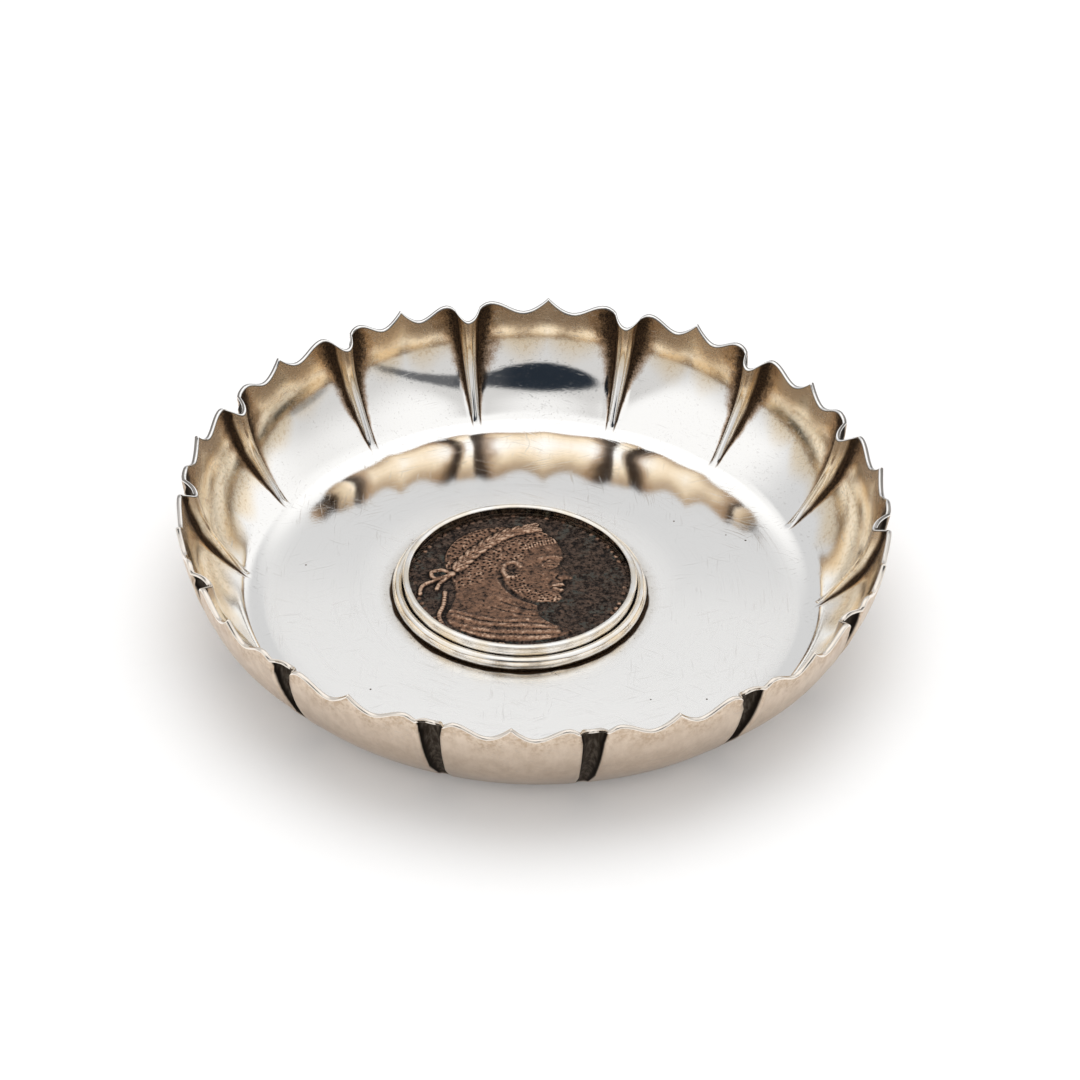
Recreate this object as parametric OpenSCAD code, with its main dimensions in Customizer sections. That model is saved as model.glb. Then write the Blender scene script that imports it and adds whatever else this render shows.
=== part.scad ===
/* [Dish] */
// Overall diameter across the cusps
dish_d = 84; // [78:1:96]
// Overall height, table to cusp
dish_h = 15; // [13.5:0.5:19]
// Thickness of the raised sheet
sheet_t = 0.8; // [0.6:0.1:1.2]
// Diameter of the flat floor
floor_d = 59.5; // [54:0.5:62]
// Outward lean of the wall under the rim, degrees
wall_flare = 10.5; // [6:0.5:16]
// Outward swell of each lobe between its flutes
lobe_swell = 0.3; // [0:0.1:0.8]

/* [Rim] */
// Number of lobes
lobes = 14; // [10:1:18]
// Drop from the cusps to the bottom of a notch
notch_drop = 1.9; // [1:0.1:2.6]
// Drop from the cusps to the shoulders beside a notch
shoulder_drop = 0.4; // [0.2:0.1:0.9]
// Drop from the cusps to the dips beside a cusp
dip_drop = 1.8; // [1:0.1:2.6]

/* [Flutes] */
// Width of a flute at the rim
flute_w = 3; // [2:0.1:4]
// Width of a flute near its lower tip
flute_tip_w = 1.2; // [0.8:0.1:2]
// Depth of a flute
flute_depth = 1.1; // [0.5:0.1:1.6]
// Height of a flute's lower tip over the floor
flute_tip_h = 0.4; // [0.2:0.1:1.2]
// Height over which a flute deepens from its tip
flute_fade_h = 6.2; // [4:0.2:8]

/* [Coin] */
// Coin diameter
coin_d = 26.8; // [22:0.2:32]
// Coin thickness over the struck design
coin_t = 1.7; // [1.2:0.1:2.4]
// Height of the struck design over the field
relief_h = 0.25; // [0.1:0.05:0.4]
// Thickness of the disc under the coin
seat_t = 0.5; // [0.3:0.1:1.2]

/* [Bezel] */
// Shift of the bezel from the middle of the dish, to the right
bezel_x = -1.5; // [-3:0.1:3]
// Shift of the bezel from the middle of the dish, to the back
bezel_y = 0.3; // [-3:0.1:3]
// Gap between coin and collet
coin_gap = 0.05; // [0.03:0.01:0.15]
// Wall of the collet
collet_t = 0.5; // [0.35:0.05:0.55]
// Height of the rolled lip
lip_h = 0.5; // [0.4:0.05:0.7]
// Reach of the lip over the coin's edge
lip_lap = 0.25; // [0.15:0.05:0.35]
// Width of the base ring
ring_w = 1.2; // [1:0.1:2]
// Height of the base ring
ring_h = 1.7; // [1.2:0.1:1.9]

/* [Hidden] */
$fn = 96;

floor_r = floor_d / 2;
floor_z = sheet_t;
half_t = sheet_t / 2;
pitch = 360 / lobes;
// Angle of the first flute and the uneven spacing that hand work left, in degrees
first_flute = 100.8;
flute_drift = [2, -0.2, 0.8, -0.2, -1, -1.2, -0.2, -0.8, 0.2, 0, 0, 0.2, 0.2, -0.8];

// Inside of the wall: a curve from the floor edge up to a straight band that the rim is cut from.
// Its handles are shares of the wall's run outward and of its lift
foot_pull = 0.67;
belly_pull = [0.205, 0.212];
band_pull = 0.85;
function mid_r(z) = dish_d / 2 - half_t - (dish_h - half_t - z) * tan(wall_flare);
band_z = dish_h - notch_drop - sheet_t;
wall_a = [floor_r, floor_z];
wall_e = [mid_r(band_z) - half_t, band_z];
wall_run = wall_e[0] - floor_r;
wall_lift = band_z - floor_z;
wall_b = wall_a + [foot_pull * wall_run, 0];
wall_c = wall_a + [belly_pull[0] * wall_run, belly_pull[1] * wall_lift];
wall_d = wall_e - band_pull * wall_lift * [tan(wall_flare), 1];
function cubic(t, a, b, c, d) =
    pow(1 - t, 3) * a + 3 * t * pow(1 - t, 2) * b + 3 * t * t * (1 - t) * c + pow(t, 3) * d;
function wall_at(t) =
    blend(cubic(t, wall_a, wall_b, wall_c, wall_d), cubic(t, wall_b, wall_c, wall_d, wall_e), t);
function wall_way(t) =
    cubic(t, wall_b, wall_c, wall_d, wall_e) - cubic(t, wall_a, wall_b, wall_c, wall_d);
function wall_back(t) =
    wall_at(t) + sheet_t * [wall_way(t)[1], -wall_way(t)[0]] / norm(wall_way(t));

function blend(a, b, f) = a + (b - a) * f;
function held(f) = min(1, max(0, f));
function ease(f) = (1 - cos(180 * held(f))) / 2;

// Columns across half a lobe: places inside the flute, then shares of the way to the cusp
in_flute = [0, 0.45, 0.8, 1];
flute_form = [1, 0.9, 0.42, 0.06];
to_cusp = [0.12, 0.36, 0.7, 1];
half_cols = len(in_flute) + len(to_cusp);
lobe_cols = 2 * (half_cols - 1);
cols = lobes * lobe_cols;
function half_index(c) = c < half_cols ? c : lobe_cols - c;
function flute_share(z) =
    blend(flute_tip_w, flute_w, held((z - floor_z) / (dish_h - floor_z)))
    * lobes / (2 * PI * dish_d);
function half_share(i, z) =
    i < len(in_flute) ? in_flute[i] * flute_share(z)
    : blend(flute_share(z), 0.5, to_cusp[i - len(in_flute)]);
function flute_angle(k) = first_flute + k * pitch + flute_drift[(k % lobes) % len(flute_drift)];
function col_angle(j, z) =
    let (k = floor(j / lobe_cols), c = j % lobe_cols, s = half_share(half_index(c), z))
    blend(flute_angle(k), flute_angle(k + 1), c < half_cols ? s : 1 - s);

// How far a column is pressed in at a height, and how far the rim drops under the cusps
function fade(z) = sin(90 * held((z - floor_z - flute_tip_h) / flute_fade_h));
function press(j, z) =
    let (i = half_index(j % lobe_cols))
    fade(z) * (flute_depth * (i < len(in_flute) ? flute_form[i] : 0)
    + lobe_swell * (1 - sin(180 * half_share(i, z))));
shoulder_s = 0.14;
dip_s = 0.345;
cusp_bend = 1.7;
function rim_drop(j) =
    let (s = half_share(half_index(j % lobe_cols), dish_h))
    s < shoulder_s ? blend(notch_drop, shoulder_drop, ease(s / shoulder_s))
    : s < dip_s ? blend(shoulder_drop, dip_drop, ease((s - shoulder_s) / (dip_s - shoulder_s)))
    : dip_drop * (1 - pow((s - dip_s) / (0.5 - dip_s), cusp_bend));

// Rings of points: the wall's foot under the floor disc, up the inside, over the rim, down the outside
wall_steps = [0, 0.14, 0.24, 0.34, 0.48, 0.64, 0.82, 1];
rim_turns = [0, 45, 90, 135, 180];
foot_in = 1.5;
foot_lap = 0.5;
foot_r = floor_r - foot_in;
function point(j, r, z, h) =
    let (a = col_angle(j, h), q = r - press(j, h))
    [q * cos(a), q * sin(a), z];
function wall_ring(t, p) = [for (j = [0 : cols - 1]) point(j, p[0], p[1], wall_at(t)[1])];
function rim_ring(turn) = [
    for (j = [0 : cols - 1])
        let (z = dish_h - half_t - rim_drop(j))
        point(j, mid_r(z) - half_t * cos(turn), z + half_t * sin(turn), dish_h)
];
rings = concat(
    [wall_ring(0, [foot_r, 0])],
    [wall_ring(0, [foot_r, floor_z])],
    [for (t = wall_steps) wall_ring(t, wall_at(t))],
    [for (turn = rim_turns) rim_ring(turn)],
    [for (i = [len(wall_steps) - 1 : -1 : 0]) wall_ring(wall_steps[i], wall_back(wall_steps[i]))]
);
points = [for (ring = rings) for (p = ring) p];
function at(i, j) = (i % len(rings)) * cols + j % cols;
faces = [
    for (i = [0 : len(rings) - 1])
        for (j = [0 : cols - 1])
            for (f = [[at(i, j), at(i + 1, j + 1), at(i + 1, j)],
                      [at(i, j), at(i, j + 1), at(i + 1, j + 1)]])
                f
];
middle_x = (max([for (p = points) p[0]]) + min([for (p = points) p[0]])) / 2;
middle_y = (max([for (p = points) p[1]]) + min([for (p = points) p[1]])) / 2;

// Stack of the bezel, from the floor up
coin_r = coin_d / 2;
coin_top = floor_z + seat_t + coin_t;
collet_in = coin_r + coin_gap;
collet_out = collet_in + collet_t;
lip_in = coin_r - lip_lap;
lip_z = coin_top + coin_gap + lip_h / 2;
crown_share = 0.55;
ring_crown = crown_share * ring_h;

// The raised silver dish
module dish() {
    color("gainsboro")
        translate([-middle_x, -middle_y, 0])
            union() {
                polyhedron(points = points, faces = faces, convexity = 8);
                cylinder(r = foot_r + foot_lap, h = sheet_t);
            }
}

// Half round wire soldered round the foot of the collet
module bezel_base_ring() {
    color("silver")
        translate([bezel_x, bezel_y, floor_z])
            rotate_extrude()
                intersection() {
                    translate([collet_out, 0])
                        square([ring_w, ring_h]);
                    translate([collet_out + ring_w - ring_crown, ring_h - ring_crown])
                        circle(r = ring_crown);
                }
}

// Strip collar round the coin, its top rolled over the coin's edge
module bezel_collet() {
    color("whitesmoke")
        translate([bezel_x, bezel_y, 0])
            rotate_extrude() {
                translate([collet_in, floor_z])
                    square([collet_t, lip_z - floor_z]);
                translate([lip_in + lip_h / 2, lip_z - lip_h / 2])
                    square([collet_out - lip_in - lip_h, lip_h]);
                translate([lip_in + lip_h / 2, lip_z])
                    circle(d = lip_h);
                translate([collet_out - lip_h / 2, lip_z])
                    circle(d = lip_h);
            }
}

// Packing disc that lifts the coin to the lip
module coin_seat() {
    color("darkgray")
        translate([bezel_x, bezel_y, floor_z])
            cylinder(r = coin_r, h = seat_t);
}

// Struck design of the coin, drawn in thirteenths of its radius: pellets, a bust and a wreath
unit = coin_r / 13;
field_h = coin_t - relief_h;
root_h = field_h / 2;
bust_h = field_h + 0.6 * relief_h;
pellet_h = field_h + 0.8 * relief_h;
border_r = 12.1;
pellet_d = 0.6;
pellets = 76;
wreath_mid = [1.6, 0.6];
wreath_r = [8.2, 7.6];
wreath_turn = [180, 92];
wreath_leaves = 9;
bust_side = [
    [-1, 9.1], [1.9, 8.8], [3.9, 7.4], [4.8, 5.7], [5.05, 4.2], [5.15, 3.5], [4.8, 2.7], [5.35, 1.7],
    [6.15, 0.35], [6, -0.15], [5.2, -0.4], [5.3, -1], [5.4, -1.3], [5.05, -1.55], [5.3, -1.9],
    [5.1, -2.4], [4.85, -2.65], [5.1, -3.3], [4.7, -4], [3.9, -4.3], [3.1, -4.3], [2.6, -4.6],
    [2.5, -5.6], [3, -6.8], [4.3, -7.8], [6.2, -8.8], [5.6, -9.7], [3.4, -10.7], [0, -11.2],
    [-3.6, -10.7], [-6.6, -9.1], [-7.6, -7.4], [-7.3, -6], [-6.9, -4.6], [-6.7, -3.2], [-6.9, -1.6],
    [-7.4, -0.2], [-8, 1.8], [-7.9, 4.3], [-6.6, 6.8], [-4.2, 8.5]
];
leaf_side = [[-1, 0], [-0.5, 0.45], [0.2, 0.5], [1.1, 0], [0.2, -0.5], [-0.5, -0.45]];
module raised(side, top) {
    translate([0, 0, root_h])
        linear_extrude(height = top - root_h)
            polygon(side * unit);
}
module coin() {
    color("sienna")
        translate([bezel_x, bezel_y, floor_z + seat_t]) {
            cylinder(r = coin_r, h = field_h);
            raised(bust_side, bust_h);
            for (i = [0 : wreath_leaves - 1]) {
                turn = blend(wreath_turn[0], wreath_turn[1], i / (wreath_leaves - 1));
                place = wreath_mid + [wreath_r[0] * cos(turn), wreath_r[1] * sin(turn)];
                translate(place * unit)
                    rotate(turn - 90)
                        raised(leaf_side, coin_t);
            }
            for (i = [0 : pellets - 1])
                rotate(i * 360 / pellets)
                    translate([border_r * unit, 0, root_h])
                        cylinder(d = pellet_d * unit, h = pellet_h - root_h, $fn = 16);
        }
}

dish();
bezel_base_ring();
bezel_collet();
coin_seat();
coin();
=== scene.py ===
import math
import bmesh
import bpy
import numpy as np
from mathutils import Matrix, Vector, noise


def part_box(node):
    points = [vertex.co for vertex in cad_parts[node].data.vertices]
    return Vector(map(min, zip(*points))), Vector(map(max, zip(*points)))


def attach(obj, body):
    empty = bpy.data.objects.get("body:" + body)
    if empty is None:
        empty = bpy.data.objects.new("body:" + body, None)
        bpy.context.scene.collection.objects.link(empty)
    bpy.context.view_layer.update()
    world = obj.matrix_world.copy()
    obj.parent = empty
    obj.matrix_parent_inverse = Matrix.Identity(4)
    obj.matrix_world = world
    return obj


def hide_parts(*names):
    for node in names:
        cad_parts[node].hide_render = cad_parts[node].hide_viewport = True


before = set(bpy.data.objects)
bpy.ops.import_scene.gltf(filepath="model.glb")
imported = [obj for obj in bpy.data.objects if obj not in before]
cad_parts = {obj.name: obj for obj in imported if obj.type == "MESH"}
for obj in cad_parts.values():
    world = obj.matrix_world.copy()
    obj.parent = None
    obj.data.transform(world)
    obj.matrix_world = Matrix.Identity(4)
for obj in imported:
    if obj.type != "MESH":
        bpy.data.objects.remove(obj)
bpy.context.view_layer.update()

# Camera
# A long lens stands 46 cm off and looks down at 37.6 degrees. Its place, turn and lens come from
# fitting the notches and cusps of the rim to the photographed view.
camera_place = Vector((0.0, -0.3690, 0.2929))
camera_pitch = math.radians(37.587)
camera_yaw = math.radians(0.119)
camera_roll = math.radians(1.632)
camera_data = bpy.data.cameras.new("camera")
camera_data.lens = 131.94
camera_data.sensor_width = 36.0
camera_data.clip_start = 0.01
camera = bpy.data.objects.new("camera", camera_data)
camera.matrix_world = (
    Matrix.Translation(camera_place)
    @ Matrix.Rotation(-camera_yaw, 4, "Z")
    @ Matrix.Rotation(math.radians(90) - camera_pitch, 4, "X")
    @ Matrix.Rotation(camera_roll, 4, "Z")
)
bpy.context.scene.collection.objects.link(camera)
bpy.context.scene.camera = camera


# The dish
# One sheet of silver, raised over a stake: flat floor, curved wall, fourteen flutes pressed in from
# outside, rim sawn to shoulders, dips and cusps, then rounded off thinner and polished.
dish_low, dish_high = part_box("dish")
dish_height = dish_high.z - dish_low.z
cusp_r = 0.04194
sheet = 0.0008
rim_sheet = 0.00062
floor_r = 0.02975
flare = math.radians(10.5)
rim_band = 0.0027
foot_pull = 0.67
belly_pull = (0.205, 0.212)
band_pull = 0.85
lobes = 14
columns_per_lobe = 60
first_flute = 100.8
flute_drift = (2.06, -0.23, 0.84, -0.15, -0.98, -1.24, -0.23, -0.78, 0.25, -0.06, 0.02, 0.22, 0.20, -0.84)
flute_half_top = 0.00145
flute_half_tip = 0.00055
groove_half_top = 0.00128
groove_half_low = 0.00070
flute_depth = 0.0012
flute_tip_h = 0.0004
flute_fade_h = 0.0062
lobe_swell = 0.0003
crease_depth = 0.00012
notch_drop = 0.0019
shoulder_drop = 0.0003
dip_drop = 0.0018
shoulder_at = 0.15
dip_at = 0.355
crowding = 0.62
hammer_wave = 0.000006
streak_wave = 0.000004
floor_wave = 0.000003
pitch = math.tau / lobes


def blend(a, b, share):
    return a + (b - a) * share


def held(share):
    return min(1.0, max(0.0, share))


def ease(share):
    return (1 - math.cos(math.pi * held(share))) / 2


def middle_r(z):
    return cusp_r - rim_sheet / 2 - (dish_height - rim_sheet / 2 - z) * math.tan(flare)


band_z = dish_height - rim_band
wall_start = Vector((floor_r, sheet))
wall_end = Vector((middle_r(band_z) - rim_sheet / 2, band_z))
wall_run, wall_lift = wall_end - wall_start
wall_foot = wall_start + Vector((foot_pull * wall_run, 0))
wall_belly = wall_start + Vector((belly_pull[0] * wall_run, belly_pull[1] * wall_lift))
wall_head = wall_end - band_pull * wall_lift * Vector((math.tan(flare), 1))


def cubic(t, a, b, c, d):
    return (1 - t) ** 3 * a + 3 * t * (1 - t) ** 2 * b + 3 * t * t * (1 - t) * c + t ** 3 * d


def wall_point(t):
    return (cubic(t, wall_start, wall_foot, wall_belly, wall_head) * (1 - t)
            + cubic(t, wall_foot, wall_belly, wall_head, wall_end) * t)


def wall_normal(t):
    run = (cubic(t, wall_foot, wall_belly, wall_head, wall_end)
           - cubic(t, wall_start, wall_foot, wall_belly, wall_head))
    return Vector((run.y, -run.x)).normalized()


# Section of the sheet from the middle of the base, up the outside, over the rim and down the inside.
# Each point keeps the height of the inside wall beside it, its place on the sheet, and how far it has
# come from the outside (0) to the inside (1).
BASE, OUTSIDE, EDGE, INSIDE, FLOOR = range(5)
section = []
for share in (0.0, 0.35, 0.7, 0.9):
    section.append((Vector((floor_r * share, 0.0)), sheet, BASE, 0.0))
for step in range(27):
    t = step / 26
    gauge = blend(sheet, rim_sheet, ease(t * t))
    section.append((wall_point(t) + gauge * wall_normal(t), wall_point(t).y, OUTSIDE, 0.0))
for step in range(9):
    turn = math.pi * step / 8
    round_edge = Vector((math.cos(turn), math.sin(turn))) * rim_sheet / 2
    section.append((round_edge, dish_height, EDGE, step / 8))
for step in range(38):
    t = 1 - step / 37
    section.append((wall_point(t), wall_point(t).y, INSIDE, 1.0))
for share in (0.96, 0.91, 0.86, 0.80, 0.73, 0.65, 0.55, 0.4, 0.0):
    section.append((Vector((floor_r * share, sheet)), sheet, FLOOR, 1.0))


def flute_angle(k):
    return math.radians(first_flute + flute_drift[k % lobes]) + k * pitch


def rim_drop(s):
    s = min(s, 1 - s)
    if s < shoulder_at:
        return blend(notch_drop, shoulder_drop, ease(s / shoulder_at))
    if s < dip_at:
        return blend(shoulder_drop, dip_drop, ease((s - shoulder_at) / (dip_at - shoulder_at)))
    return dip_drop * (1 - ((s - dip_at) / (0.5 - dip_at)) ** 1.7)


def shape_dish():
    bm = bmesh.new()
    beside = bm.verts.layers.float.new("beside")
    part = bm.verts.layers.int.new("part")
    side = bm.verts.layers.float.new("side")
    gap = bm.verts.layers.float.new("flute_gap")
    below = bm.verts.layers.float.new("below_rim")
    last = None
    for place, inside_z, where, across in section:
        x, z = place
        if where == EDGE:
            x += cusp_r
            z += dish_height
        vert = bm.verts.new((x, 0.0, z))
        vert[beside] = inside_z
        vert[part] = where
        vert[side] = across
        if last:
            bm.edges.new((last, vert))
        last = vert
    bmesh.ops.spin(bm, geom=bm.verts[:] + bm.edges[:], cent=(0, 0, 0), axis=(0, 0, 1), dvec=(0, 0, 0),
                   angle=math.tau, steps=lobes * columns_per_lobe, use_merge=True)
    bmesh.ops.remove_doubles(bm, verts=bm.verts, dist=1e-7)
    for vert in bm.verts:
        x, y, z = vert.co
        r = math.hypot(x, y)
        vert[gap] = 0.01
        vert[below] = dish_height - z
        if r < 1e-6:
            continue
        turn = (math.atan2(y, x) / pitch) % lobes
        lobe, s = int(turn), turn % 1
        s -= crowding * math.sin(4 * math.pi * s) / (4 * math.pi)
        angle = blend(flute_angle(lobe), flute_angle(lobe + 1), s)
        inside_z = vert[beside]
        up = held((inside_z - sheet) / (dish_height - sheet))
        fade = math.sin(math.pi / 2 * held((inside_z - sheet - flute_tip_h) / flute_fade_h))
        off = min(s, 1 - s) * pitch * cusp_r
        half = blend(flute_half_tip, flute_half_top, up)
        if vert[part] in (BASE, OUTSIDE):
            half = blend(groove_half_low, groove_half_top, up ** 0.6)
        across = off / half
        press = flute_depth * max(0.0, 1 - across ** 2.4) ** 0.6
        press -= crease_depth * math.exp(-((across - 1.3) / 0.35) ** 2)
        press += lobe_swell * (1 - math.sin(math.pi * s))
        way = Vector((math.cos(angle), math.sin(angle), 0))
        uneven = (hammer_wave * noise.fractal(way * 9 + Vector((0, 0, z * 80)), 1.0, 2.0, 2)
                  + streak_wave * noise.fractal(way * 34 + Vector((0, 0, z * 25)), 1.0, 2.0, 2))
        press += uneven * held((inside_z - sheet) / 0.004) * held((dish_height - z) / 0.002)
        if vert[part] == EDGE:
            middle_z = dish_height - rim_sheet / 2 - rim_drop(s)
            r = middle_r(middle_z) + (r - cusp_r)
            z = middle_z + (z - dish_height)
        if vert[part] == FLOOR:
            z += floor_wave * noise.noise(Vector((x, y, 0)) * 190)
        r -= press * fade
        vert[gap] = off - half if fade > 0 else 0.01
        vert[below] = dish_height - rim_drop(s) - z
        vert.co = (r * math.cos(angle), r * math.sin(angle), z)
    bmesh.ops.recalc_face_normals(bm, faces=bm.faces)
    for face in bm.faces:
        face.smooth = True
    return bm


def piece_from(bm, name, node):
    mesh = bpy.data.meshes.new(name)
    bm.to_mesh(mesh)
    bm.free()
    piece = bpy.data.objects.new(name, mesh)
    bpy.context.scene.collection.objects.link(piece)
    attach(piece, "root")
    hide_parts(node)
    return piece


dish = piece_from(shape_dish(), "silver_dish", "dish")


def put(tree, kind, settings=None, wires=None):
    made = tree.nodes.new("ShaderNode" + kind)
    for name, value in (settings or {}).items():
        setattr(made, name, value)
    for name, value in (wires or {}).items():
        if isinstance(value, bpy.types.NodeSocket):
            tree.links.new(value, made.inputs[name])
        else:
            made.inputs[name].default_value = value
    return made


def reckon(tree, operation, *values):
    return put(tree, "Math", {"operation": operation}, dict(enumerate(values))).outputs[0]


def times(tree, one, other):
    return reckon(tree, "MULTIPLY", one, other)


def larger(tree, one, other):
    return reckon(tree, "MAXIMUM", one, other)


def mixed_in(tree, value, amount, base):
    return reckon(tree, "MULTIPLY_ADD", value, amount, base)


def rise(tree, value, start, end):
    wires = {"Value": value, "From Min": start, "From Max": end}
    return put(tree, "MapRange", {"interpolation_type": "SMOOTHSTEP"}, wires).outputs["Result"]


def tint(tree, share, under, over):
    made = put(tree, "Mix", {"data_type": "RGBA"}, {0: share})
    for socket, value in ((made.inputs[6], under), (made.inputs[7], over)):
        if isinstance(value, bpy.types.NodeSocket):
            tree.links.new(value, socket)
        else:
            socket.default_value = (*value, 1)
    return made.outputs[2]


def grain(tree, place, scale, detail=3.0, roughness=0.55):
    wires = {"Vector": place, "Scale": scale, "Detail": detail, "Roughness": roughness}
    return put(tree, "TexNoise", None, wires).outputs["Fac"]


def millimetres(tree):
    place = put(tree, "TexCoord").outputs["Object"]
    return put(tree, "VectorMath", {"operation": "SCALE"}, {0: place, "Scale": 1000.0}).outputs[0]


def mesh_value(tree, name):
    return put(tree, "Attribute", {"attribute_name": name}).outputs["Fac"]


def new_material(name, metallic, roughness, color):
    material = bpy.data.materials.new(name)
    material.use_nodes = True
    shader = material.node_tree.nodes["Principled BSDF"]
    shader.inputs["Metallic"].default_value = metallic
    shader.inputs["Roughness"].default_value = roughness
    shader.inputs["Base Color"].default_value = (*color, 1)
    return material, material.node_tree, shader


def wire(tree, shader, **ends):
    for name, value in ends.items():
        tree.links.new(value, shader.inputs[name.replace("_", " ")])


# Fine scratches that years of wiping leave in silver. The group draws three sets of nearly straight
# lines, each in patches of its own, and puts out where the scratches are.
scratches = bpy.data.node_groups.new("fine_scratches", "ShaderNodeTree")
scratches.interface.new_socket("Place", in_out="INPUT", socket_type="NodeSocketVector")
scratches.interface.new_socket("Patch Size", in_out="INPUT", socket_type="NodeSocketFloat")
scratches.interface.new_socket("Fineness", in_out="INPUT", socket_type="NodeSocketFloat")
scratches.interface.new_socket("Mask", in_out="OUTPUT", socket_type="NodeSocketFloat")
way_in = scratches.nodes.new("NodeGroupInput")
way_out = scratches.nodes.new("NodeGroupOutput")
scratch_place = way_in.outputs["Place"]
patch_size = way_in.outputs["Patch Size"]
fineness = way_in.outputs["Fineness"]
swirl = put(scratches, "TexNoise", None, {"Vector": scratch_place, "Scale": patch_size, "Detail": 1.0})
lines = None
for turn_by in (0.4, 1.5, 2.7):
    turn = mixed_in(scratches, swirl.outputs["Fac"], 0.12, turn_by)
    turned = put(scratches, "VectorRotate", {"rotation_type": "Z_AXIS"},
                 {"Vector": scratch_place, "Angle": turn})
    stretch = {"Vector": turned.outputs[0], "Scale": (0.06, 1.0, 1.0), "Location": (turn_by, 3.0, 1.0)}
    drawn = put(scratches, "Mapping", None, stretch).outputs[0]
    streak = put(scratches, "TexNoise", None, {"Vector": drawn, "Scale": fineness, "Detail": 2.0})
    shift = {"Vector": scratch_place, "Location": (turn_by * 40, 0.0, turn_by * 9)}
    shifted = put(scratches, "Mapping", None, shift).outputs[0]
    field = put(scratches, "TexNoise", None, {"Vector": shifted, "Scale": patch_size, "Detail": 2.0})
    line = times(scratches, rise(scratches, streak.outputs["Fac"], 0.60, 0.72),
                 rise(scratches, field.outputs["Fac"], 0.44, 0.60))
    lines = line if lines is None else larger(scratches, lines, line)
scratches.links.new(lines, way_out.inputs["Mask"])


def scratch_mask(tree, place, patch, fineness):
    made = put(tree, "Group", {"node_tree": scratches})
    tree.links.new(place, made.inputs["Place"])
    made.inputs["Patch Size"].default_value = patch
    made.inputs["Fineness"].default_value = fineness
    return made.outputs["Mask"]


# The finish of the dish: bright floor and flutes, golden tarnish under the rim, black brown oxide that
# polishing can't reach beside each flute and in the grooves outside, and a worn satin outside.
silver, tree, shader = new_material("dish_silver", 1.0, 0.1, (0.97, 0.96, 0.94))
place = millimetres(tree)
beside = mesh_value(tree, "beside")
gap = mesh_value(tree, "flute_gap")
side = mesh_value(tree, "side")
below = mesh_value(tree, "below_rim")
cloudy = grain(tree, place, 0.22, 2.0)
mottle = grain(tree, place, 1.9, 5.0, 0.68)
speckle = grain(tree, place, 5.5, 4.0, 0.7)
inside = rise(tree, side, 0.80, 0.97)
outside = reckon(tree, "SUBTRACT", 1.0, rise(tree, side, 0.01, 0.08))
over_tip = rise(tree, beside, 0.0012, 0.0020)

# Golden tarnish under the rim, brown and mottled at its top, and deeper on the left and right, where the
# polishing cloth turns
parts = put(tree, "SeparateXYZ", None, {0: place})
sideways = rise(tree, reckon(tree, "ABSOLUTE", parts.outputs["X"]), 26.0, 38.0)
reach = mixed_in(tree, cloudy, 0.0012, reckon(tree, "ADD", below, -0.0012))
reach = mixed_in(tree, mottle, 0.0012, reach)
deep = mixed_in(tree, sideways, -0.0062, reach)
golden = times(tree, rise(tree, deep, 0.0072, 0.0034), inside)
browned = rise(tree, mixed_in(tree, mottle, 0.0022, reach), 0.0043, 0.0020)
browned = times(tree, times(tree, browned, inside), 0.85)
stained = times(tree, rise(tree, mottle, 0.50, 0.64), times(tree, golden, 0.65))

# Oxide: a thin line at the flute's tip, over a millimetre wide at the rim
climb = {"Value": beside, "From Min": 0.0012, "From Max": 0.0115}
height_share = put(tree, "MapRange", None, climb).outputs["Result"]
width = mixed_in(tree, reckon(tree, "POWER", height_share, 1.7), 0.0025, 0.00015)
width = times(tree, width, mixed_in(tree, cloudy, 1.8, 0.1))
share = reckon(tree, "ADD", reckon(tree, "DIVIDE", gap, width), -0.80)
share = mixed_in(tree, mottle, 0.7, share)
share = mixed_in(tree, speckle, 0.9, share)
crevice = times(tree, rise(tree, gap, -0.00020, 0.00002), over_tip)
crevice = times(tree, crevice, inside)
oxide = times(tree, rise(tree, share, 1.00, 0.35), crevice)
halo = times(tree, rise(tree, share, 1.6, 0.7), crevice)
groove = times(tree, rise(tree, gap, 0.00008, -0.00006), outside)
groove = times(tree, groove, rise(tree, beside, 0.0016, 0.0024))

# Dirt packed against the foot of the bezel, and loose specks of it on the floor around
bezel_middle = Vector((-0.0015, 0.0003, 0))
base_ring_edge = 15.15


def from_bezel(tree, place):
    centred = put(tree, "Mapping", None, {"Vector": place, "Location": bezel_middle * -1000})
    flat = put(tree, "VectorMath", {"operation": "MULTIPLY"}, {0: centred.outputs[0], 1: (1, 1, 0)})
    length = put(tree, "VectorMath", {"operation": "LENGTH"}, {0: flat.outputs[0]})
    return flat.outputs[0], length.outputs["Value"]


flat, bezel_r = from_bezel(tree, place)
bezel_gap = reckon(tree, "ADD", bezel_r, -base_ring_edge)
on_floor = times(tree, rise(tree, beside, 0.00095, 0.00085), inside)
packed = rise(tree, mixed_in(tree, cloudy, -0.7, bezel_gap), 0.02, -0.22)
specks = times(tree, rise(tree, mottle, 0.58, 0.66), rise(tree, bezel_gap, 1.9, 0.1))
dots = put(tree, "TexVoronoi", {"feature": "F1"}, {"Vector": place, "Scale": 0.34})
chosen = rise(tree, put(tree, "SeparateColor", None, {0: dots.outputs["Color"]}).outputs[0], 0.70, 0.72)
dots = times(tree, rise(tree, dots.outputs["Distance"], 0.055, 0.030), chosen)
dirt = larger(tree, larger(tree, packed, times(tree, specks, 0.6)), dots)
dirt = times(tree, dirt, on_floor)
grimy = times(tree, times(tree, rise(tree, bezel_gap, 1.8, 0.0), on_floor), mottle)
worn = times(tree, rise(tree, bezel_r, 22.0, 16.5), on_floor)
front_floor = times(tree, rise(tree, parts.outputs["Y"], 10.0, -6.0), on_floor)
worn = larger(tree, worn, front_floor)

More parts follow.
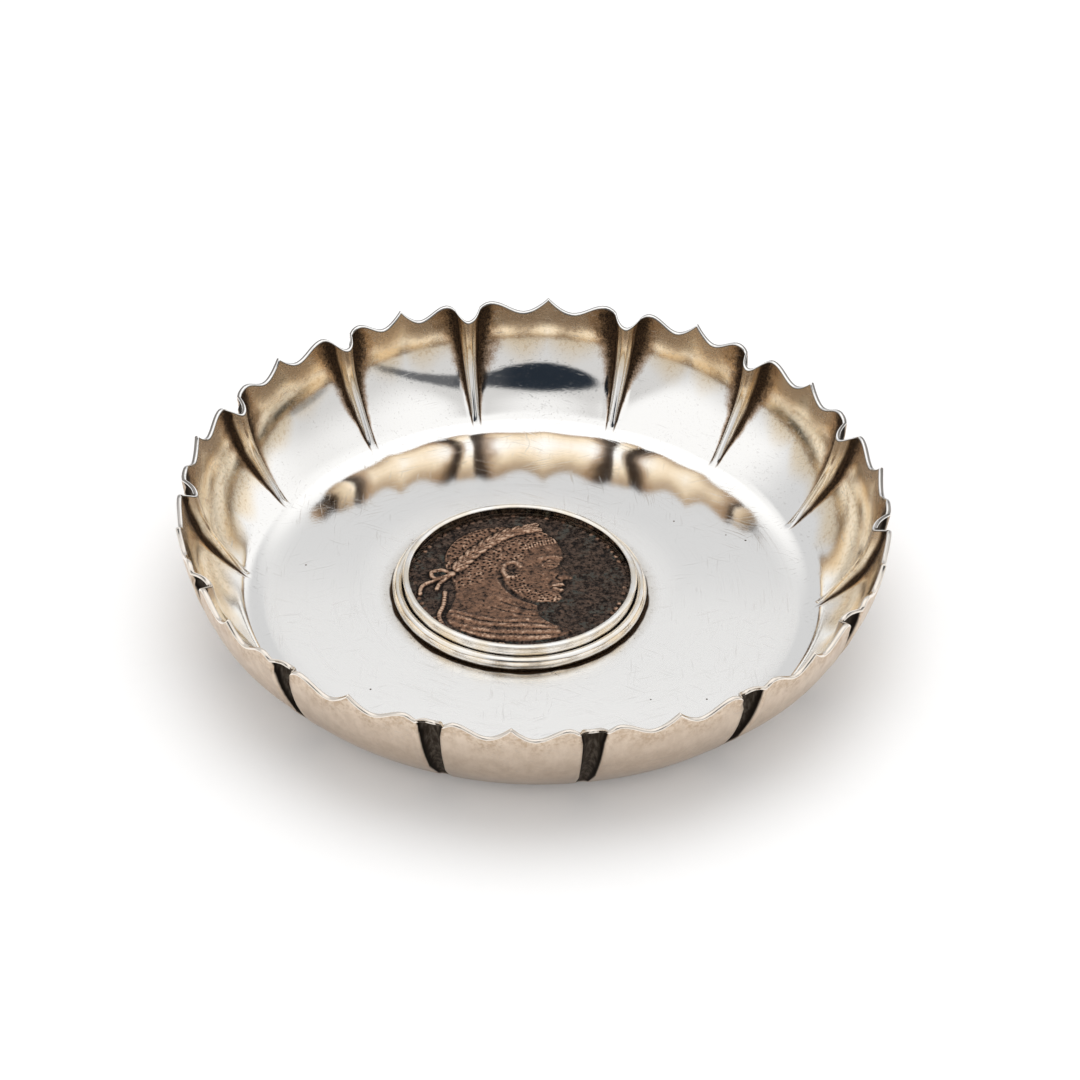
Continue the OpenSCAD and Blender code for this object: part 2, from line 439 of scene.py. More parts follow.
# Wiping round and round the bezel leaves faint arcs in the floor
around = put(tree, "VectorMath", {"operation": "NORMALIZE"}, {0: flat}).outputs[0]
around = put(tree, "VectorMath", {"operation": "SCALE"}, {0: around, "Scale": 1.6}).outputs[0]
outward = put(tree, "CombineXYZ", None, {2: times(tree, bezel_r, 5.5)}).outputs[0]
arcs = put(tree, "VectorMath", {"operation": "ADD"}, {0: around, 1: outward}).outputs[0]
arcs = times(tree, rise(tree, grain(tree, arcs, 1.0, 3.0), 0.50, 0.72), on_floor)
arcs = times(tree, arcs, rise(tree, cloudy, 0.35, 0.65))

# Worn satin outside: grey near the table, stained brown in drips under the rim
hanging = put(tree, "Mapping", None, {"Vector": place, "Scale": (1.0, 1.0, 0.6)})
drips = grain(tree, hanging.outputs[0], 0.7, 6.0, 0.7)
satin = tint(tree, rise(tree, drips, 0.30, 0.70), (0.63, 0.51, 0.400), (0.74, 0.62, 0.505))
satin = tint(tree, rise(tree, parts.outputs["Z"], 6.5, 2.0), satin, (0.75, 0.66, 0.58))
stain = rise(tree, mixed_in(tree, drips, 0.0060, below), 0.0062, 0.0034)
satin = tint(tree, times(tree, stain, rise(tree, mottle, 0.42, 0.60)), satin, (0.53, 0.40, 0.285))
scored = put(tree, "Mapping", None,
             {"Vector": place, "Scale": (1.0, 1.0, 0.22), "Rotation": (0.5, 0.2, 0.0)})
scored = grain(tree, scored.outputs[0], 2.6, 3.0, 0.6)
tarred = tint(tree, rise(tree, scored, 0.36, 0.74), (0.050, 0.037, 0.027), (0.165, 0.138, 0.112))
tarred = tint(tree, rise(tree, gap, -0.00045, -0.00010), tarred, (0.016, 0.011, 0.008))

lines = scratch_mask(tree, place, 0.16, 4.0)
color = tint(tree, outside, (0.97, 0.96, 0.94), satin)
gold = tint(tree, rise(tree, reach, 0.0008, 0.0050), (0.84, 0.66, 0.44), (0.92, 0.79, 0.60))
color = tint(tree, golden, color, gold)
color = tint(tree, stained, color, (0.70, 0.52, 0.33))
color = tint(tree, browned, color, (0.41, 0.29, 0.185))
color = tint(tree, times(tree, halo, 0.85), color, (0.34, 0.195, 0.090))
color = tint(tree, grimy, color, (0.58, 0.52, 0.44))
color = tint(tree, times(tree, lines, 0.28), color, (0.52, 0.50, 0.48))
color = tint(tree, times(tree, arcs, 0.14), color, (0.50, 0.48, 0.46))
dark = tint(tree, rise(tree, speckle, 0.34, 0.66), (0.015, 0.010, 0.007), (0.105, 0.062, 0.034))
black = larger(tree, oxide, dirt)
color = tint(tree, black, color, dark)
color = tint(tree, groove, color, tarred)
backward = rise(tree, parts.outputs["Y"], -14.0, 4.0)
# Painted shade: the rounded rim edge is toned warm cream on its front half only, standing in for the warm
# shading it shows there; the back half stays bright silver.
on_edge = times(tree, rise(tree, side, 0.01, 0.08), rise(tree, side, 0.95, 0.85))
front_rim_painted_shade = times(tree, on_edge, reckon(tree, "SUBTRACT", 1.0, backward))
color = tint(tree, front_rim_painted_shade, color, (0.86, 0.79, 0.71))
# Painted shade: thin dark lines along the rounded rim edge stand in for the dark reflections at its outer
# silhouette and inner edge. The outer line is painted on the back half only, and the inner line all
# round.
back_rim_painted_reflection = times(tree, rise(tree, side, 0.10, 0.20), rise(tree, side, 0.62, 0.52))
back_rim_painted_reflection = times(tree, back_rim_painted_reflection, backward)
inner_rim_painted_shade = times(tree, rise(tree, side, 0.80, 0.86), rise(tree, side, 0.995, 0.95))
rim_painted_dark_lines = times(tree, larger(tree, back_rim_painted_reflection, inner_rim_painted_shade), 0.85)
color = tint(tree, rim_painted_dark_lines, color, (0.13, 0.11, 0.095))
rough = mixed_in(tree, outside, 0.29, 0.07)
rough = mixed_in(tree, golden, 0.05, rough)
rough = mixed_in(tree, browned, 0.16, rough)
rough = mixed_in(tree, worn, 0.18, rough)
rough = mixed_in(tree, arcs, 0.06, rough)
rough = mixed_in(tree, lines, 0.10, rough)
rough = mixed_in(tree, larger(tree, black, groove), 0.40, rough)
relief = mixed_in(tree, lines, -0.3, times(tree, speckle, 0.45))
relief = mixed_in(tree, times(tree, mottle, outside), 1.5, relief)
bump = put(tree, "Bump", None, {"Height": relief, "Strength": 0.35, "Distance": 0.000012})
wire(tree, shader, Base_Color=color, Roughness=rough, Normal=bump.outputs[0])
dish.data.materials.append(silver)


# The bezel: base ring and collar
# A half round silver wire is soldered round the foot of a silver strip collar. The top of the collar
# is rolled over the coin's edge with a burnisher, so its lip is never quite even.
ring_low, ring_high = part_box("bezel_base_ring")
collar_low, collar_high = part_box("bezel_collet")
ring_out = (ring_high.x - ring_low.x) / 2
collar_out = (collar_high.x - collar_low.x) / 2
collar_edge = 13.95
collar_in = 0.01345
lip_in = 0.01315
lip_h = 0.0005
wire_half = 0.00065
wire_middle = 0.0008
wire_rise = 0.00088
ring_foot_in = 0.00012


def turned(profile, name, node, unevenness, wave):
    bm = bmesh.new()
    first = [bm.verts.new((r, 0.0, z)) for r, z in profile]
    edges = [bm.edges.new((first[i], first[(i + 1) % len(first)])) for i in range(len(first))]
    bmesh.ops.spin(bm, geom=first + edges, cent=(0, 0, 0), axis=(0, 0, 1), dvec=(0, 0, 0),
                   angle=math.tau, steps=256, use_merge=True)
    bmesh.ops.remove_doubles(bm, verts=bm.verts, dist=1e-7)
    for vert in bm.verts:
        r = math.hypot(vert.co.x, vert.co.y)
        way = Vector((vert.co.x, vert.co.y, 0)) / r
        push = noise.fractal(way * wave + Vector((0, 0, vert.co.z * 300)), 1.0, 2.0, 2) * unevenness
        vert.co += way * (push - unevenness)
        vert.co += bezel_middle
    bmesh.ops.recalc_face_normals(bm, faces=bm.faces)
    for face in bm.faces:
        face.smooth = True
    piece = piece_from(bm, name, node)
    soften = piece.modifiers.new("rounding", "SUBSURF")
    soften.levels = 1
    soften.render_levels = 1
    return piece


half_round = [(collar_out + 0.00002, ring_low.z), (ring_out - ring_foot_in, ring_low.z)]
for step in range(15):
    turn = math.radians(-22 + 176 * step / 14)
    half_round.append((ring_out - wire_half + math.cos(turn) * wire_half,
                       ring_low.z + wire_middle + math.sin(turn) * wire_rise))
ring = turned(half_round, "bezel_ring", "bezel_base_ring", 0.00003, 7.0)

collar_side = [(collar_out - 0.00002, collar_low.z), (collar_out - 0.00002, collar_low.z + 0.0012),
               (collar_out - 0.00016, collar_high.z - lip_h - 0.0002)]
for step in range(13):
    turn = math.radians(-75 + 260 * step / 12)
    middle_x = (lip_in + collar_out) / 2
    collar_side.append((middle_x + math.cos(turn) * (collar_out - lip_in) / 2,
                        collar_high.z - lip_h / 2 + math.sin(turn) * lip_h / 2))
collar_side += [(collar_in, collar_high.z - lip_h * 0.9), (collar_in, collar_high.z - 0.0012),
                (collar_in, collar_low.z)]
collar = turned(collar_side, "bezel_collar", "bezel_collet", 0.00003, 5.0)

bezel_silver, tree, shader = new_material("bezel_silver", 1.0, 0.12, (0.93, 0.92, 0.90))
place = millimetres(tree)
height = put(tree, "SeparateXYZ", None, {0: place}).outputs["Z"]
cloudy = grain(tree, place, 0.35, 2.0)
speckle = grain(tree, place, 4.0, 4.0, 0.7)
lines = scratch_mask(tree, place, 0.2, 3.0)
uneven_height = mixed_in(tree, speckle, 0.35, reckon(tree, "ADD", height, -0.17))
foot_dirt = rise(tree, uneven_height, 1.02, 0.84)
groove_dirt = times(tree, rise(tree, uneven_height, 1.7, 1.9), rise(tree, uneven_height, 2.50, 2.32))
radius = from_bezel(tree, place)[1]
from_groove = reckon(tree, "ABSOLUTE", reckon(tree, "SUBTRACT", radius, collar_edge))
near_groove = rise(tree, from_groove, 0.13, 0.05)
groove_dirt = times(tree, groove_dirt, near_groove)
dirt = larger(tree, foot_dirt, groove_dirt)
warm = rise(tree, cloudy, 0.35, 0.65)
color = tint(tree, warm, (0.92, 0.90, 0.87), (0.86, 0.79, 0.68))
color = tint(tree, dirt, color, (0.035, 0.023, 0.015))
rough = mixed_in(tree, lines, 0.12, 0.16)
rough = mixed_in(tree, dirt, 0.4, rough)
relief = mixed_in(tree, lines, -0.5, times(tree, speckle, 0.6))
bump = put(tree, "Bump", None, {"Height": relief, "Strength": 0.4, "Distance": 0.00002})
wire(tree, shader, Base_Color=color, Roughness=rough, Normal=bump.outputs[0])
for piece in (ring, collar):
    piece.data.materials.append(bezel_silver)


# The packing disc
# A plain disc of silver sheet lies under the coin and lifts it to the lip. It is hidden once the coin
# is set, so it keeps the dull skin that annealing leaves.
packing, tree, shader = new_material("packing_silver", 1.0, 0.4, (0.72, 0.71, 0.69))
place = millimetres(tree)
color = tint(tree, grain(tree, place, 0.6, 4.0), (0.78, 0.76, 0.73), (0.60, 0.56, 0.52))
rough = mixed_in(tree, grain(tree, place, 3.0), 0.2, 0.3)
wire(tree, shader, Base_Color=color, Roughness=rough)
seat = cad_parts["coin_seat"]
seat.data.materials.clear()
seat.data.materials.append(packing)


# The coin
# An old struck bronze coin: a wreathed head with a short beard, a draped bust, and a border of
# pellets. The relief is struck up from a pitted field, then worn on its high points.
coin_low, coin_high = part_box("coin")
coin_r = (coin_high.x - coin_low.x) / 2
coin_grid = 290
relief_height = 0.00042
design_r = 13
head_size = 1.06
head_shift = 0.35
pellets = 76
pellet_ring = 12.1
unit = coin_r / design_r
dice = np.random.RandomState(7)


def curve_through(points, closed=True, steps=7):
    points = np.array(points, float)
    count = len(points)
    out = []
    for i in range(count if closed else count - 1):
        a, b, c, d = [points[(i + k) % count] if closed else points[min(max(i + k, 0), count - 1)]
                      for k in (-1, 0, 1, 2)]
        for step in range(steps):
            t = step / steps
            out.append(0.5 * (2 * b + (c - a) * t + (2 * a - 5 * b + 4 * c - d) * t * t
                              + (3 * b - a - 3 * c + d) * t ** 3))
    if not closed:
        out.append(points[-1])
    return np.array(out)


def distance_to(x, y, line, closed):
    best = np.full(x.shape, 1e9)
    ends = np.roll(line, -1, axis=0) if closed else line[1:]
    for a, b in zip(line, ends):
        run = b - a
        length = max(float(run @ run), 1e-12)
        t = np.clip(((x - a[0]) * run[0] + (y - a[1]) * run[1]) / length, 0, 1)
        best = np.minimum(best, (x - a[0] - t * run[0]) ** 2 + (y - a[1] - t * run[1]) ** 2)
    return np.sqrt(best)


def depth_inside(x, y, outline):
    within = np.zeros(x.shape, bool)
    for a, b in zip(outline, np.roll(outline, -1, axis=0)):
        cross = (a[1] > y) != (b[1] > y)
        at = a[0] + (y - a[1]) * (b[0] - a[0]) / (b[1] - a[1] if abs(b[1] - a[1]) > 1e-12 else 1e-12)
        within ^= cross & (x < at)
    return np.where(within, 1, -1) * distance_to(x, y, outline, True)


def dome(depth, reach):
    u = np.clip(depth / reach, 0, 1)
    return np.sqrt(1 - (1 - u) ** 2)


def bulge(x, y, at, size):
    return np.exp(-((x - at[0]) / size[0]) ** 2 - ((y - at[1]) / size[1]) ** 2)


def ridge(x, y, points, width):
    return np.clip(1 - (distance_to(x, y, curve_through(points, False), False) / width) ** 2, 0, 1)


def curls(x, y, size):
    cells = dice.rand(64, 64, 2) * 0.8 + 0.1
    i, j = np.floor(x / size).astype(int), np.floor(y / size).astype(int)
    best = np.full(x.shape, 9.0)
    for di in (-1, 0, 1):
        for dj in (-1, 0, 1):
            spot = cells[(i + di) % 64, (j + dj) % 64]
            u, v = x / size - i - di - spot[..., 0], y / size - j - dj - spot[..., 1]
            best = np.minimum(best, u ** 2 + v ** 2)
    return np.clip(1 - best / 0.12, 0, 1)


def soft(mask, low, high):
    u = np.clip((mask - low) / (high - low), 0, 1)
    return u * u * (3 - 2 * u)


# All of the design is drawn in thirteenths of the coin's radius, the head facing right
head_side = [
    (-1.0, 9.1), (1.9, 8.8), (3.9, 7.4), (4.8, 5.7), (5.05, 4.2), (5.15, 3.5), (4.8, 2.7), (5.35, 1.7),
    (6.15, 0.35), (6.0, -0.15), (5.2, -0.4), (5.3, -1.0), (5.4, -1.3), (5.05, -1.55), (5.3, -1.9),
    (5.1, -2.4), (4.85, -2.65), (5.1, -3.3), (4.7, -4.0), (3.9, -4.3), (3.1, -4.3), (2.6, -4.6),
    (2.5, -5.6), (3.0, -6.8), (4.3, -7.8), (6.2, -8.8), (5.6, -9.7), (3.4, -10.7), (0.0, -11.2),
    (-3.6, -10.7), (-6.6, -9.1), (-7.6, -7.4), (-7.3, -6.0), (-6.9, -4.6), (-6.7, -3.2), (-6.9, -1.6),
    (-7.4, -0.2), (-8.0, 1.8), (-7.9, 4.3), (-6.6, 6.8), (-4.2, 8.5),
]
hair_side = [
    (-1.0, 9.3), (1.9, 9.0), (4.0, 7.6), (4.5, 6.6), (3.3, 6.2), (2.0, 5.6), (1.2, 4.5), (0.9, 3.2),
    (0.5, 2.5), (-0.9, 2.9), (-1.9, 2.4), (-2.2, 0.8), (-3.2, -0.6), (-5.0, -1.9), (-7.1, -2.2),
    (-7.6, -0.2), (-8.2, 1.8), (-8.1, 4.3), (-6.8, 7.0), (-4.3, 8.8),
]
beard_side = [
    (-0.2, 1.2), (0.6, 0.2), (1.4, -1.0), (2.6, -1.8), (3.6, -2.2), (4.6, -2.5), (5.2, -2.9), (4.9, -4.1),
    (3.8, -4.5), (2.4, -4.3), (0.8, -3.4), (-0.8, -1.6), (-1.2, 0.2),
]
drape_side = [
    (1.6, -7.4), (3.0, -7.6), (4.4, -7.9), (6.4, -8.8), (5.6, -9.9), (3.4, -10.9), (0.0, -11.4),
    (-3.6, -10.9), (-6.8, -9.2), (-7.8, -7.4), (-7.4, -6.0), (-5.6, -6.6), (-2.4, -7.6),
]


def struck(x, y):
    r, a = np.hypot(x, y), np.arctan2(y, x)
    x, y = (x + head_shift) / head_size, (y - head_shift) / head_size
    head = depth_inside(x, y, curve_through(head_side))
    body = soft(head, -0.02, 0.16)
    h = 0.16 * body + 0.36 * dome(head, 1.5)
    # planes of the face
    h += 0.10 * bulge(x, y, (3.1, -0.3), (1.3, 1.4)) * body
    h += 0.06 * bulge(x, y, (2.6, 5.3), (1.8, 1.2)) * body
    h -= 0.20 * bulge(x, y, (3.75, 2.35), (0.95, 0.8)) * body
    h -= 0.07 * bulge(x, y, (2.1, 3.4), (1.1, 0.9)) * body
    h += 0.20 * ridge(x, y, [(2.5, 3.15), (3.5, 3.7), (4.8, 3.5)], 0.42) * body
    h += 0.30 * dome(1 - np.hypot((x - 3.75) / 0.74, (y - 2.25) / 0.46), 0.7) * body
    h += 0.16 * ridge(x, y, [(2.75, 2.15), (3.5, 2.92), (4.5, 2.45)], 0.17) * body
    h += 0.12 * ridge(x, y, [(2.8, 2.1), (3.6, 1.62), (4.35, 2.05)], 0.15) * body
    h -= 0.24 * bulge(x, y, (3.95, 2.3), (0.15, 0.15)) * body
    h += 0.16 * bulge(x, y, (5.05, 0.15), (0.42, 0.38)) * body
    h -= 0.24 * ridge(x, y, [(4.5, 0.55), (4.3, 0.0), (4.65, -0.35)], 0.17) * body
    h -= 0.14 * ridge(x, y, [(4.25, 0.1), (3.65, -0.9), (3.75, -1.9)], 0.24) * body
    h += 0.22 * ridge(x, y, [(5.25, -1.1), (4.7, -1.12), (4.1, -1.42)], 0.25) * body
    h += 0.22 * ridge(x, y, [(5.15, -2.05), (4.7, -2.08), (4.2, -1.8)], 0.27) * body
    h -= 0.28 * ridge(x, y, [(5.3, -1.58), (4.7, -1.62), (3.95, -1.6)], 0.13) * body
    h += 0.12 * bulge(x, y, (4.45, -3.4), (0.6, 0.5)) * body
    # ear
    shell = [(-0.2, 0.0), (-1.0, -0.1), (-1.5, 1.0), (-1.2, 2.2), (-0.2, 2.5), (0.35, 1.8)]
    h += 0.30 * ridge(x, y, shell, 0.36) * body
    h -= 0.22 * bulge(x, y, (-0.4, 1.2), (0.32, 0.6)) * body
    # neck: a shadow under the jaw, two creases, and the long muscle down to the chest
    jaw = [(4.0, -4.5), (2.4, -4.5), (0.6, -3.7), (-0.9, -2.2), (-1.8, -0.4)]
    h -= 0.34 * ridge(x, y, jaw, 0.40) * body
    h += 0.14 * ridge(x, y, [(-2.0, -1.2), (-1.2, -4.4), (0.9, -6.8)], 0.9) * body
    h -= 0.16 * ridge(x, y, [(2.6, -5.7), (0.6, -5.4), (-1.6, -4.4)], 0.22) * body
    h -= 0.12 * ridge(x, y, [(2.7, -6.6), (0.4, -6.5), (-2.6, -5.4)], 0.20) * body
    # cropped hair and short beard are cut in with the point of a punch
    hair = soft(depth_inside(x, y, curve_through(hair_side)), -0.1, 0.30) * body
    h += hair * (0.12 - 0.26 * curls(x + 0.3 * y, y - 0.2 * x, 0.54))
    beard = soft(depth_inside(x, y, curve_through(beard_side)), -0.1, 0.30) * body
    h += beard * (0.06 - 0.26 * curls(x + 40, y, 0.46))
    for k in range(13):
        at = blend(Vector((1.0, 5.0)), Vector((4.7, 6.5)), k / 12)
        h += 0.18 * ridge(x, y, [tuple(at), (at.x - 0.15, at.y + 0.62)], 0.13) * body
    # draped cloak, its folds, and the beaded edge up the back
    drape = soft(depth_inside(x, y, curve_through(drape_side)), -0.05, 0.2)
    folds = [
        [(-6.6, -7.0), (-3.6, -8.2), (0.4, -8.4), (4.2, -8.5)],
        [(-7.0, -8.1), (-3.8, -9.3), (0.2, -9.5), (4.6, -9.3)],
        [(-5.6, -9.4), (-3.0, -10.3), (0.6, -10.5), (3.6, -10.2)],
    ]
    for fold in folds:
        h += 0.26 * ridge(x, y, fold, 0.40) * drape
    collar_fold = [(-7.2, -6.1), (-5.4, -6.7), (-2.4, -7.6), (1.6, -7.5), (3.4, -7.7)]
    h += 0.20 * ridge(x, y, collar_fold, 0.34) * body
    h = h * soft(head, 0.0, 0.30)
    hem = [(-7.7, -3.0), (-7.8, -5.2), (-8.2, -7.2), (-7.2, -9.3), (-4.4, -11.0), (-1.2, -11.6)]
    for bead in curve_through(hem, False, 6):
        h = np.maximum(h, 0.6 * dome(0.30 - np.hypot(x - bead[0], y - bead[1]), 0.3))
    # wreath of paired leaves from the crown to the nape, with a knot and two loose ties
    spine = curve_through([(1.0, 8.5), (-1.4, 7.4), (-3.6, 5.4), (-5.4, 3.0), (-6.9, 0.5)], False, 8)
    h -= 0.30 * ridge(x, y, spine[::4], 1.5) * body
    for k in range(0, len(spine) - 2, 3):
        at = spine[k]
        run = spine[min(k + 2, len(spine) - 1)] - at
        way = math.atan2(run[1], run[0])
        for lean in (0.40, -0.40):
            c, s = math.cos(way + math.pi + lean), math.sin(way + math.pi + lean)
            u = ((x - at[0]) * c + (y - at[1]) * s - 0.66) / 1.05
            v = (-(x - at[0]) * s + (y - at[1]) * c) / 0.52
            leaf = np.sqrt(np.clip(1 - u * u - v * v, 0, 1)) - 0.22 * np.exp(-(v / 0.16) ** 2)
            h = np.maximum(h, np.where(u * u + v * v < 1, 0.35 + 0.60 * leaf, 0))
    ties = [
        [(-7.1, 0.3), (-8.2, 0.9), (-9.3, 0.4), (-8.9, -0.6), (-7.5, -0.2)],
        [(-7.2, 0.0), (-8.2, -1.2), (-8.6, -2.4)],
        [(-7.1, 0.1), (-8.9, -1.0), (-10.2, -2.0), (-10.4, -3.4)],
    ]
    for tie in ties:
        h = np.maximum(h, 0.66 * ridge(x, y, tie, 0.30) ** 0.5)
    h = np.maximum(h, 0.85 * dome(0.55 - np.hypot(x + 7.1, y - 0.2), 0.5))
    # pellets round the edge, some worn away
    k = np.round(a / (2 * math.pi) * pellets)
    worn = dice.rand(pellets + 1)[(k % pellets).astype(int)]
    off = np.hypot(r - pellet_ring, (a - k * 2 * math.pi / pellets) * pellet_ring)
    h = np.maximum(h, (0.42 * worn - 0.04) * dome(0.34 - off, 0.34))
    return h, body


bm = bmesh.new()
bmesh.ops.create_grid(bm, x_segments=coin_grid, y_segments=coin_grid, size=1.0)
bm.verts.ensure_lookup_table()
square = np.array([vert.co for vert in bm.verts])
x = square[:, 0] * np.sqrt(1 - square[:, 1] ** 2 / 2) * design_r
y = square[:, 1] * np.sqrt(1 - square[:, 0] ** 2 / 2) * design_r
h, body = struck(x, y)
bumpy = np.array([noise.fractal(Vector((a * 0.7, b * 0.7, 3.0)), 0.55, 2.1, 6) for a, b in zip(x, y)])
pits = np.array([noise.noise(Vector((a * 3.1, b * 3.1, 9.0))) for a, b in zip(x, y)])
h = h * (0.95 + 0.10 * bumpy) + 0.11 * bumpy - 0.5 * np.clip(pits - 0.25, 0, 1) * (1 - 0.5 * body)
h = np.clip(h, -0.25, 0.97)
rim_fall = np.clip((np.hypot(x, y) - 12.75) / 0.25, 0, 1) ** 2
side = int(round(math.sqrt(len(x))))
field = h.reshape(side, side)
blurred = field.copy()
for step in range(14):
    padded = np.pad(blurred, 1, mode="edge")
    beside_each = padded[:-2, 1:-1] + padded[2:, 1:-1] + padded[1:-1, :-2] + padded[1:-1, 2:]
    blurred = (beside_each + 2 * blurred) / 6
proud = (field - blurred).reshape(-1)
height_layer = bm.verts.layers.float.new("struck")
proud_layer = bm.verts.layers.float.new("proud")
field_z = coin_high.z - relief_height
for vert, px, py, up, above, fall in zip(bm.verts, x, y, h, proud, rim_fall):
    vert[height_layer] = up
    vert[proud_layer] = above
    vert.co = (bezel_middle.x + px * unit, bezel_middle.y + py * unit,
               field_z + up * relief_height - fall * 0.0002)
outer = [edge for edge in bm.edges if edge.is_boundary]
grown = bmesh.ops.extrude_edge_only(bm, edges=outer)["geom"]
lowered = [item for item in grown if isinstance(item, bmesh.types.BMVert)]
for vert in lowered:
    vert.co.z = coin_low.z
bmesh.ops.edgeloop_fill(bm, edges=[item for item in grown if isinstance(item, bmesh.types.BMEdge)
                                   and item.is_boundary])
bmesh.ops.recalc_face_normals(bm, faces=bm.faces)
for face in bm.faces:
    face.smooth = True
for vert in lowered:
    for edge in vert.link_edges:
        edge.smooth = False
coin = piece_from(bm, "old_coin", "coin")

bronze, tree, shader = new_material("coin_bronze", 1.0, 0.38, (0.30, 0.16, 0.10))
place = millimetres(tree)
up = mesh_value(tree, "struck")
proud = mesh_value(tree, "proud")
cloudy = grain(tree, place, 0.35, 3.0)
speckle = grain(tree, place, 1.7, 4.0, 0.72)
fine = grain(tree, place, 7.0, 3.0, 0.65)
raised = mixed_in(tree, proud, 2.2, up)
raised = mixed_in(tree, reckon(tree, "SUBTRACT", speckle, 0.5), 0.9, raised)
raised = mixed_in(tree, reckon(tree, "SUBTRACT", cloudy, 0.5), 0.7, raised)
copper = rise(tree, raised, 0.06, 0.80)
bright = rise(tree, mixed_in(tree, proud, 3.5, raised), 0.80, 1.55)
sunk = rise(tree, mixed_in(tree, reckon(tree, "SUBTRACT", fine, 0.5), 0.30, proud), -0.02, -0.11)
pitted = rise(tree, fine, 0.36, 0.28)
skin = tint(tree, rise(tree, speckle, 0.38, 0.62), (0.012, 0.009, 0.008), (0.115, 0.077, 0.058))
color = tint(tree, copper, skin, (0.25, 0.138, 0.088))
color = tint(tree, bright, color, (0.62, 0.43, 0.31))
color = tint(tree, pitted, color, (0.035, 0.024, 0.019))
color = tint(tree, sunk, color, (0.010, 0.007, 0.006))
green = times(tree, rise(tree, cloudy, 0.50, 0.60), rise(tree, speckle, 0.48, 0.58))
green = times(tree, green, rise(tree, up, 0.3, 0.1))
color = tint(tree, times(tree, green, 0.6), color, (0.045, 0.070, 0.066))
rough = mixed_in(tree, fine, 0.30, 0.13)
relief = mixed_in(tree, fine, 0.25, speckle)
bump = put(tree, "Bump", None, {"Height": relief, "Strength": 0.8, "Distance": 0.00005})
wire(tree, shader, Base_Color=color, Roughness=rough, Normal=bump.outputs[0])
coin.data.materials.append(bronze)


# Paper and light
# The tray stands on white paper that runs on as the background. The room is white above and behind and
# greyer low down. A dark gap between its white screens is mirrored in the back wall of the dish.
scene = bpy.context.scene
scene.view_settings.view_transform = "Standard"
bm = bmesh.new()
bmesh.ops.create_grid(bm, x_segments=1, y_segments=1, size=3.0)
table_mesh = bpy.data.meshes.new("table")
bm.to_mesh(table_mesh)
bm.free()
table = bpy.data.objects.new("table", table_mesh)
table.location.z = -0.00005
scene.collection.objects.link(table)
paper, tree, shader = new_material("paper", 0.0, 0.9, (0.92, 0.92, 0.92))
shader.inputs["Specular IOR Level"].default_value = 0.1
fibres = grain(tree, millimetres(tree), 0.8, 2.0)
wire(tree, shader, Base_Color=tint(tree, fibres, (0.915, 0.915, 0.915), (0.925, 0.925, 0.925)))
seen = put(tree, "LightPath").outputs["Is Camera Ray"]
lift = put(tree, "Emission", None, {"Color": (1, 1, 1, 1), "Strength": 1.0})
mixed = put(tree, "MixShader", None, {0: times(tree, seen, 0.14)})
tree.links.new(shader.outputs[0], mixed.inputs[1])
tree.links.new(lift.outputs[0], mixed.inputs[2])
tree.links.new(mixed.outputs[0], tree.nodes["Material Output"].inputs["Surface"])
table_mesh.materials.append(paper)

softbox_data = bpy.data.lights.new("softbox", "AREA")
softbox_data.shape = "DISK"
softbox_data.size = 0.50
softbox_data.energy = 1.1
softbox = bpy.data.objects.new("softbox", softbox_data)
softbox.location = (0.0, 0.12, 0.50)
softbox.rotation_euler = (Vector((0, 0, 0)) - softbox.location).to_track_quat("-Z", "Y").to_euler()
softbox.visible_glossy = False
scene.collection.objects.link(softbox)

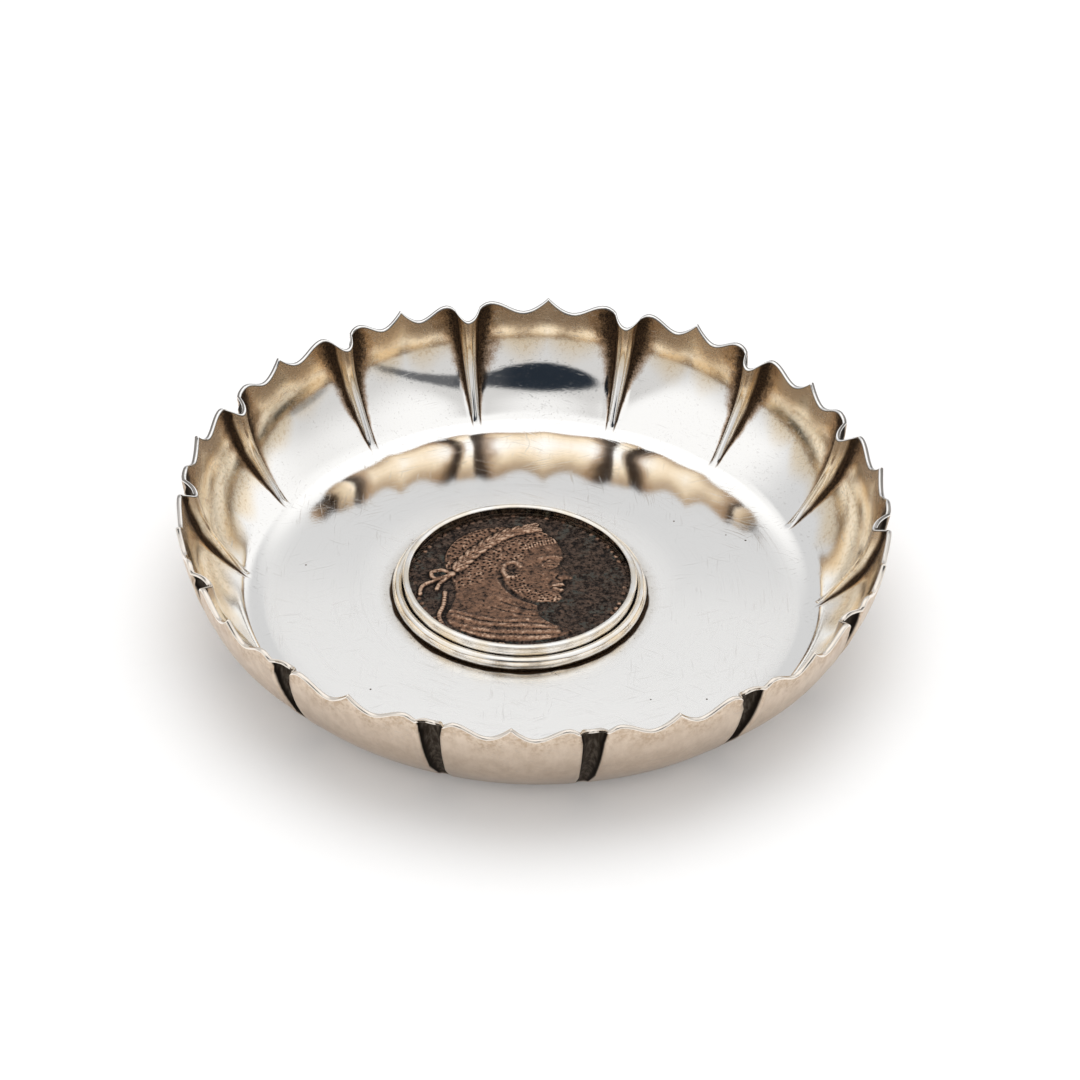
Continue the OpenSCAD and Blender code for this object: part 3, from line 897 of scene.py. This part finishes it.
world = bpy.data.worlds.new("studio")
scene.world = world
world.use_nodes = True
tree = world.node_tree
way = put(tree, "SeparateXYZ", None, {0: put(tree, "TexCoord").outputs["Generated"]})
east, north, up = way.outputs["X"], way.outputs["Y"], way.outputs["Z"]
elevation = reckon(tree, "ARCSINE", up)
bearing = reckon(tree, "ARCTAN2", east, times(tree, north, -1.0))
leftward = rise(tree, bearing, -0.45, -0.95)
rightward = rise(tree, bearing, 0.45, 0.95)
light_from = mixed_in(tree, leftward, -0.86, mixed_in(tree, rightward, -0.55, 0.85))
light_full = mixed_in(tree, leftward, -0.42, mixed_in(tree, rightward, -0.12, 0.98))
overhead = rise(tree, elevation, light_from, light_full)
front = tint(tree, overhead, (0.67, 0.665, 0.66), (1.0, 1.0, 1.0))
backdrop = tint(tree, rise(tree, elevation, 0.62, 0.80), (0.67, 0.675, 0.685), (0.94, 0.94, 0.94))
window = times(tree, rise(tree, east, 0.30, 0.60), rise(tree, elevation, 0.15, 0.30))
backdrop = tint(tree, window, backdrop, (1.0, 1.0, 1.0))
room = tint(tree, rise(tree, north, -0.1, 0.35), front, backdrop)


def oval(middle_bearing, half_bearing, bend, middle_height, half_height):
    wide = reckon(tree, "DIVIDE", reckon(tree, "SUBTRACT", bearing, middle_bearing), half_bearing)
    tall = reckon(tree, "DIVIDE", reckon(tree, "SUBTRACT", elevation, middle_height), half_height)
    wide = reckon(tree, "POWER", reckon(tree, "ABSOLUTE", wide), bend)
    return reckon(tree, "ADD", wide, reckon(tree, "POWER", reckon(tree, "ABSOLUTE", tall), 2.0))


gap_between = oval(-0.02, 0.46, 1.6, 0.665, 0.215)
room = tint(tree, rise(tree, gap_between, 1.10, 0.85), room, (0.018, 0.025, 0.036))
past = reckon(tree, "SUBTRACT", bearing, 0.30)
arm_middle = mixed_in(tree, times(tree, past, past), -1.2, 0.66)
arm_half = mixed_in(tree, past, -0.080, 0.110)
arm = reckon(tree, "ABSOLUTE", reckon(tree, "SUBTRACT", elevation, arm_middle))
arm = reckon(tree, "DIVIDE", arm, arm_half)
arm = times(tree, rise(tree, arm, 1.25, 0.75), rise(tree, bearing, 0.2, 0.35))
arm = times(tree, times(tree, arm, rise(tree, bearing, 1.05, 0.95)), 0.88)
room = tint(tree, arm, room, (0.055, 0.060, 0.070))
patch = times(tree, rise(tree, oval(1.35, 0.2, 2.0, 0.08, 0.11), 1.3, 0.5), 0.6)
room = tint(tree, patch, room, (0.12, 0.14, 0.18))
# The softbox itself is hidden from reflections, so the room carries its mirror image as a soft glow
toward_softbox = mixed_in(tree, north, 0.233, times(tree, up, 0.972))
room = tint(tree, rise(tree, toward_softbox, 0.80, 0.92), room, (1.15, 1.15, 1.15))
seen = put(tree, "LightPath").outputs["Is Camera Ray"]
background = tree.nodes["Background"]
tree.links.new(tint(tree, seen, room, (1.0, 1.0, 1.0)), background.inputs["Color"])
